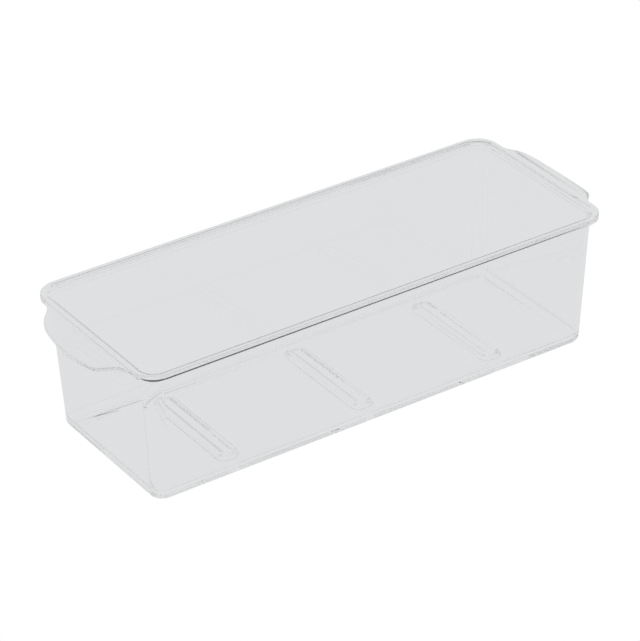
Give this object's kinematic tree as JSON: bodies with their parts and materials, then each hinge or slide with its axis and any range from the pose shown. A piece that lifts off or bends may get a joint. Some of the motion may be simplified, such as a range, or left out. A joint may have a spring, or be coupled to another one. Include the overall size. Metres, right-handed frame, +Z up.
{
  "type": "fridge storage bin",
  "caption": "Long narrow clear plastic fridge bin, open at the top, with leaning walls, a flanged rim, a drooping finger handle at each end and raised ribs across the floor.",
  "frame": {"origin": "middle of the underside, on the surface that the bin stands on", "axes": "+X along the length, towards the right-hand handle; +Y across the width, towards the rear wall; +Z up, out of the open top"},
  "size_m": [0.357, 0.128, 0.091],
  "materials": {
    "clear_plastic": "clear moulded gloss"
  },
  "bodies": {
    "root": {"floor_panel": "clear_plastic", "floor_rib_left": "clear_plastic", "floor_rib_middle": "clear_plastic", "floor_rib_right": "clear_plastic", "front_wall": "clear_plastic", "rear_wall": "clear_plastic", "left_end_wall": "clear_plastic", "right_end_wall": "clear_plastic", "front_rim": "clear_plastic", "rear_rim": "clear_plastic", "left_rim": "clear_plastic", "right_rim": "clear_plastic", "left_handle": "clear_plastic", "right_handle": "clear_plastic"}
  },
  "joints": []
}
